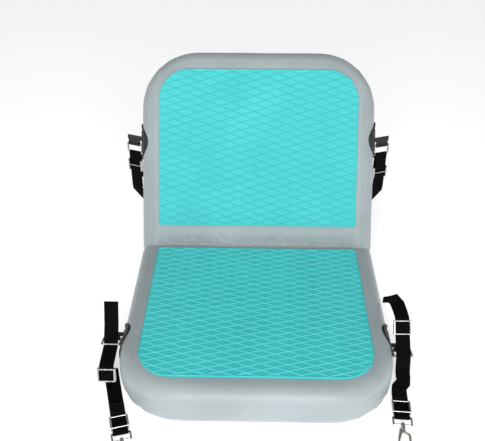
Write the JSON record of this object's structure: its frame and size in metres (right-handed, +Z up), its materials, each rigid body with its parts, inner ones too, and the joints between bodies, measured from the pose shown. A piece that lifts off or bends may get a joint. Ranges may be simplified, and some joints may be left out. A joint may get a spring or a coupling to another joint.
{
  "type": "inflatable kayak seat",
  "caption": "L-shaped inflatable seat with a foam-padded seat and tilting back, side anchors, and adjustable webbing straps with swivel snap hooks.",
  "frame": {"origin": "on the floor plane, under the middle of the flat underside of the seat", "axes": "+Z up, -Y towards the seat's front, +X to the viewer's right as seen from the front"},
  "size_m": [0.5416, 0.7068, 0.4088],
  "materials": {
    "chamber_skin": "satin coated fabric",
    "seam_tape": "satin coated tape",
    "foam_pad": "matt foam with raised diamond ribs",
    "drop_yarn": "polyester yarn",
    "patch": "matt black coated patch",
    "webbing": "woven polyester webbing",
    "steel": "polished nickel-plated steel",
    "valve_plastic": "moulded plastic",
    "valve_rubber": "soft rubber"
  },
  "bodies": {
    "seat": {"seat_top_skin": "chamber_skin", "seat_bottom_skin": "chamber_skin", "seat_side_wall": "chamber_skin", "seat_upper_seam_tape": "seam_tape", "seat_lower_seam_tape": "seam_tape", "seat_drop_yarns": "drop_yarn", "seat_foam_pad": "foam_pad", "bend_inner_skin": "chamber_skin", "bend_outer_skin": "chamber_skin", "bend_left_wall": "chamber_skin", "bend_right_wall": "chamber_skin", "front_left_anchor_patch": "patch", "front_left_anchor_tab": "webbing", "front_right_anchor_patch": "patch", "front_right_anchor_tab": "webbing"},
    "backrest": {"back_front_skin": "chamber_skin", "back_rear_skin": "chamber_skin", "back_side_wall": "chamber_skin", "back_front_seam_tape": "seam_tape", "back_rear_seam_tape": "seam_tape", "back_drop_yarns": "drop_yarn", "back_foam_pad": "foam_pad", "valve_body": "valve_plastic", "valve_inner_nut": "valve_plastic", "valve_cap_hinge": "valve_plastic", "rear_left_anchor_patch": "patch", "rear_left_anchor_tab": "webbing", "rear_right_anchor_patch": "patch", "rear_right_anchor_tab": "webbing"},
    "valve_cap": {"valve_cap": "valve_plastic"},
    "valve_plunger": {"valve_plunger": "valve_plastic", "valve_seal": "valve_rubber", "valve_spring": "steel"},
    "front_left_ring": {"front_left_anchor_ring": "steel"},
    "front_left_strap": {"front_left_strap": "webbing", "front_left_hook_eye": "steel"},
    "front_left_ring_slider": {"front_left_ring_slider": "steel"},
    "front_left_hook_slider": {"front_left_hook_slider": "steel"},
    "front_left_hook": {"front_left_hook": "steel"},
    "front_left_hook_gate": {"front_left_hook_gate": "steel"},
    "rear_left_ring": {"rear_left_anchor_ring": "steel"},
    "rear_left_strap": {"rear_left_strap": "webbing", "rear_left_hook_eye": "steel"},
    "rear_left_ring_slider": {"rear_left_ring_slider": "steel"},
    "rear_left_hook": {"rear_left_hook": "steel"},
    "rear_left_hook_gate": {"rear_left_hook_gate": "steel"},
    "front_right_ring": {"front_right_anchor_ring": "steel"},
    "front_right_strap": {"front_right_strap": "webbing", "front_right_hook_eye": "steel"},
    "front_right_ring_slider": {"front_right_ring_slider": "steel"},
    "front_right_hook_slider": {"front_right_hook_slider": "steel"},
    "front_right_hook": {"front_right_hook": "steel"},
    "front_right_hook_gate": {"front_right_hook_gate": "steel"},
    "rear_right_ring": {"rear_right_anchor_ring": "steel"},
    "rear_right_strap": {"rear_right_strap": "webbing", "rear_right_hook_eye": "steel"},
    "rear_right_ring_slider": {"rear_right_ring_slider": "steel"},
    "rear_right_hook": {"rear_right_hook": "steel"},
    "rear_right_hook_gate": {"rear_right_hook_gate": "steel"}
  },
  "joints": [
    {"name": "backrest_tilt", "type": "hinge", "parent": "seat", "child": "backrest", "pos_m": [0, 0.19219, 0.088], "axis": [1, 0, 0], "range_deg": [-15, 20], "stiffness_Nm_per_rad": 60, "deforming": ["bend_inner_skin", "bend_outer_skin", "bend_left_wall", "bend_right_wall"]},
    {"name": "valve_cap_flip", "type": "hinge", "parent": "backrest", "child": "valve_cap", "pos_m": [0.12, 0.42052, 0.32018], "axis": [1, 0, 0], "range_deg": [0, 150]},
    {"name": "valve_plunger_push", "type": "slide", "parent": "backrest", "child": "valve_plunger", "axis": [0, -0.8829, 0.4695], "range_m": [0, 0.005], "stiffness_N_per_m": 400, "springref_m": -0.003, "deforming": ["valve_spring"]},
    {"name": "front_left_ring_swing", "type": "hinge", "parent": "seat", "child": "front_left_ring", "pos_m": [-0.2532, -0.0384, 0.046], "axis": [1, 0, 0], "range_deg": [-6, 25]},
    {"name": "front_left_strap_swing", "type": "hinge", "parent": "front_left_ring", "child": "front_left_strap", "pos_m": [-0.2532, -0.058, 0.05], "axis": [1, 0, 0], "range_deg": [-28, 0]},
    {"name": "front_left_ring_slider_slide", "type": "slide", "parent": "front_left_strap", "child": "front_left_ring_slider", "axis": [0, 0.2696, 0.963], "range_m": [-0.004, 0.004]},
    {"name": "front_left_hook_slider_slide", "type": "slide", "parent": "front_left_strap", "child": "front_left_hook_slider", "axis": [-0.2756, 0.9613, 0], "range_m": [-0.002, 0.025]},
    {"name": "front_left_hook_swivel", "type": "hinge", "parent": "front_left_strap", "child": "front_left_hook", "pos_m": [-0.21516, -0.21065, 0.00375], "axis": [0.2756, -0.9613, 0], "continuous": true},
    {"name": "front_left_hook_gate_open", "type": "hinge", "parent": "front_left_hook", "child": "front_left_hook_gate", "pos_m": [-0.20253, -0.23803, 0.00375], "axis": [0, 0, -1], "range_deg": [0, 25], "stiffness_Nm_per_rad": 0.004, "springref_deg": -17.19},
    {"name": "rear_left_ring_swing", "type": "hinge", "parent": "backrest", "child": "rear_left_ring", "pos_m": [-0.2532, 0.33803, 0.23411], "axis": [0.9397, -0.342, 0], "range_deg": [-8, 45]},
    {"name": "rear_left_strap_swing", "type": "hinge", "parent": "rear_left_ring", "child": "rear_left_strap", "pos_m": [-0.2532, 0.33803, 0.21411], "axis": [0.9397, -0.342, 0], "range_deg": [-8, 45]},
    {"name": "rear_left_ring_slider_slide", "type": "slide", "parent": "rear_left_strap", "child": "rear_left_ring_slider", "axis": [0, 0, -1], "range_m": [-0.01, 0.02]},
    {"name": "rear_left_hook_swivel", "type": "hinge", "parent": "rear_left_strap", "child": "rear_left_hook", "pos_m": [-0.2362, 0.33803, 0.06211], "axis": [0, 0, -1], "continuous": true},
    {"name": "rear_left_hook_gate_open", "type": "hinge", "parent": "rear_left_hook", "child": "rear_left_hook_gate", "pos_m": [-0.2339, 0.33404, 0.03231], "axis": [0.866, 0.5, 0], "range_deg": [0, 25], "stiffness_Nm_per_rad": 0.004, "springref_deg": -17.19},
    {"name": "front_right_ring_swing", "type": "hinge", "parent": "seat", "child": "front_right_ring", "pos_m": [0.2532, -0.0524, 0.042], "axis": [1, 0, 0], "range_deg": [-25, 25]},
    {"name": "front_right_strap_swing", "type": "hinge", "parent": "front_right_ring", "child": "front_right_strap", "pos_m": [0.2532, -0.072, 0.046], "axis": [1, 0, 0], "range_deg": [-35, 0]},
    {"name": "front_right_ring_slider_slide", "type": "slide", "parent": "front_right_strap", "child": "front_right_ring_slider", "axis": [0, 0.6727, 0.7399], "range_m": [-0.004, 0.008]},
    {"name": "front_right_hook_slider_slide", "type": "slide", "parent": "front_right_strap", "child": "front_right_hook_slider", "axis": [0.0698, 0.9976, 0], "range_m": [-0.002, 0.025]},
    {"name": "front_right_hook_swivel", "type": "hinge", "parent": "front_right_strap", "child": "front_right_hook", "pos_m": [0.24074, -0.16984, 0.00375], "axis": [-0.0698, -0.9976, 0], "continuous": true},
    {"name": "front_right_hook_gate_open", "type": "hinge", "parent": "front_right_hook", "child": "front_right_hook_gate", "pos_m": [0.23407, -0.19925, 0.00375], "axis": [0, 0, -1], "range_deg": [0, 25], "stiffness_Nm_per_rad": 0.004, "springref_deg": -17.19},
    {"name": "rear_right_ring_swing", "type": "hinge", "parent": "backrest", "child": "rear_right_ring", "pos_m": [0.2532, 0.34179, 0.23417], "axis": [0.9397, 0.342, 0], "range_deg": [-8, 45]},
    {"name": "rear_right_strap_swing", "type": "hinge", "parent": "rear_right_ring", "child": "rear_right_strap", "pos_m": [0.2532, 0.34179, 0.21417], "axis": [0.9397, 0.342, 0], "range_deg": [-8, 45]},
    {"name": "rear_right_ring_slider_slide", "type": "slide", "parent": "rear_right_strap", "child": "rear_right_ring_slider", "axis": [0, 0, -1], "range_m": [-0.01, 0.02]},
    {"name": "rear_right_hook_swivel", "type": "hinge", "parent": "rear_right_strap", "child": "rear_right_hook", "pos_m": [0.2362, 0.34179, 0.06217], "axis": [0, 0, -1], "continuous": true},
    {"name": "rear_right_hook_gate_open", "type": "hinge", "parent": "rear_right_hook", "child": "rear_right_hook_gate", "pos_m": [0.2339, 0.3378, 0.03237], "axis": [-0.866, 0.5, 0], "range_deg": [0, 25], "stiffness_Nm_per_rad": 0.004, "springref_deg": -17.19}
  ]
}
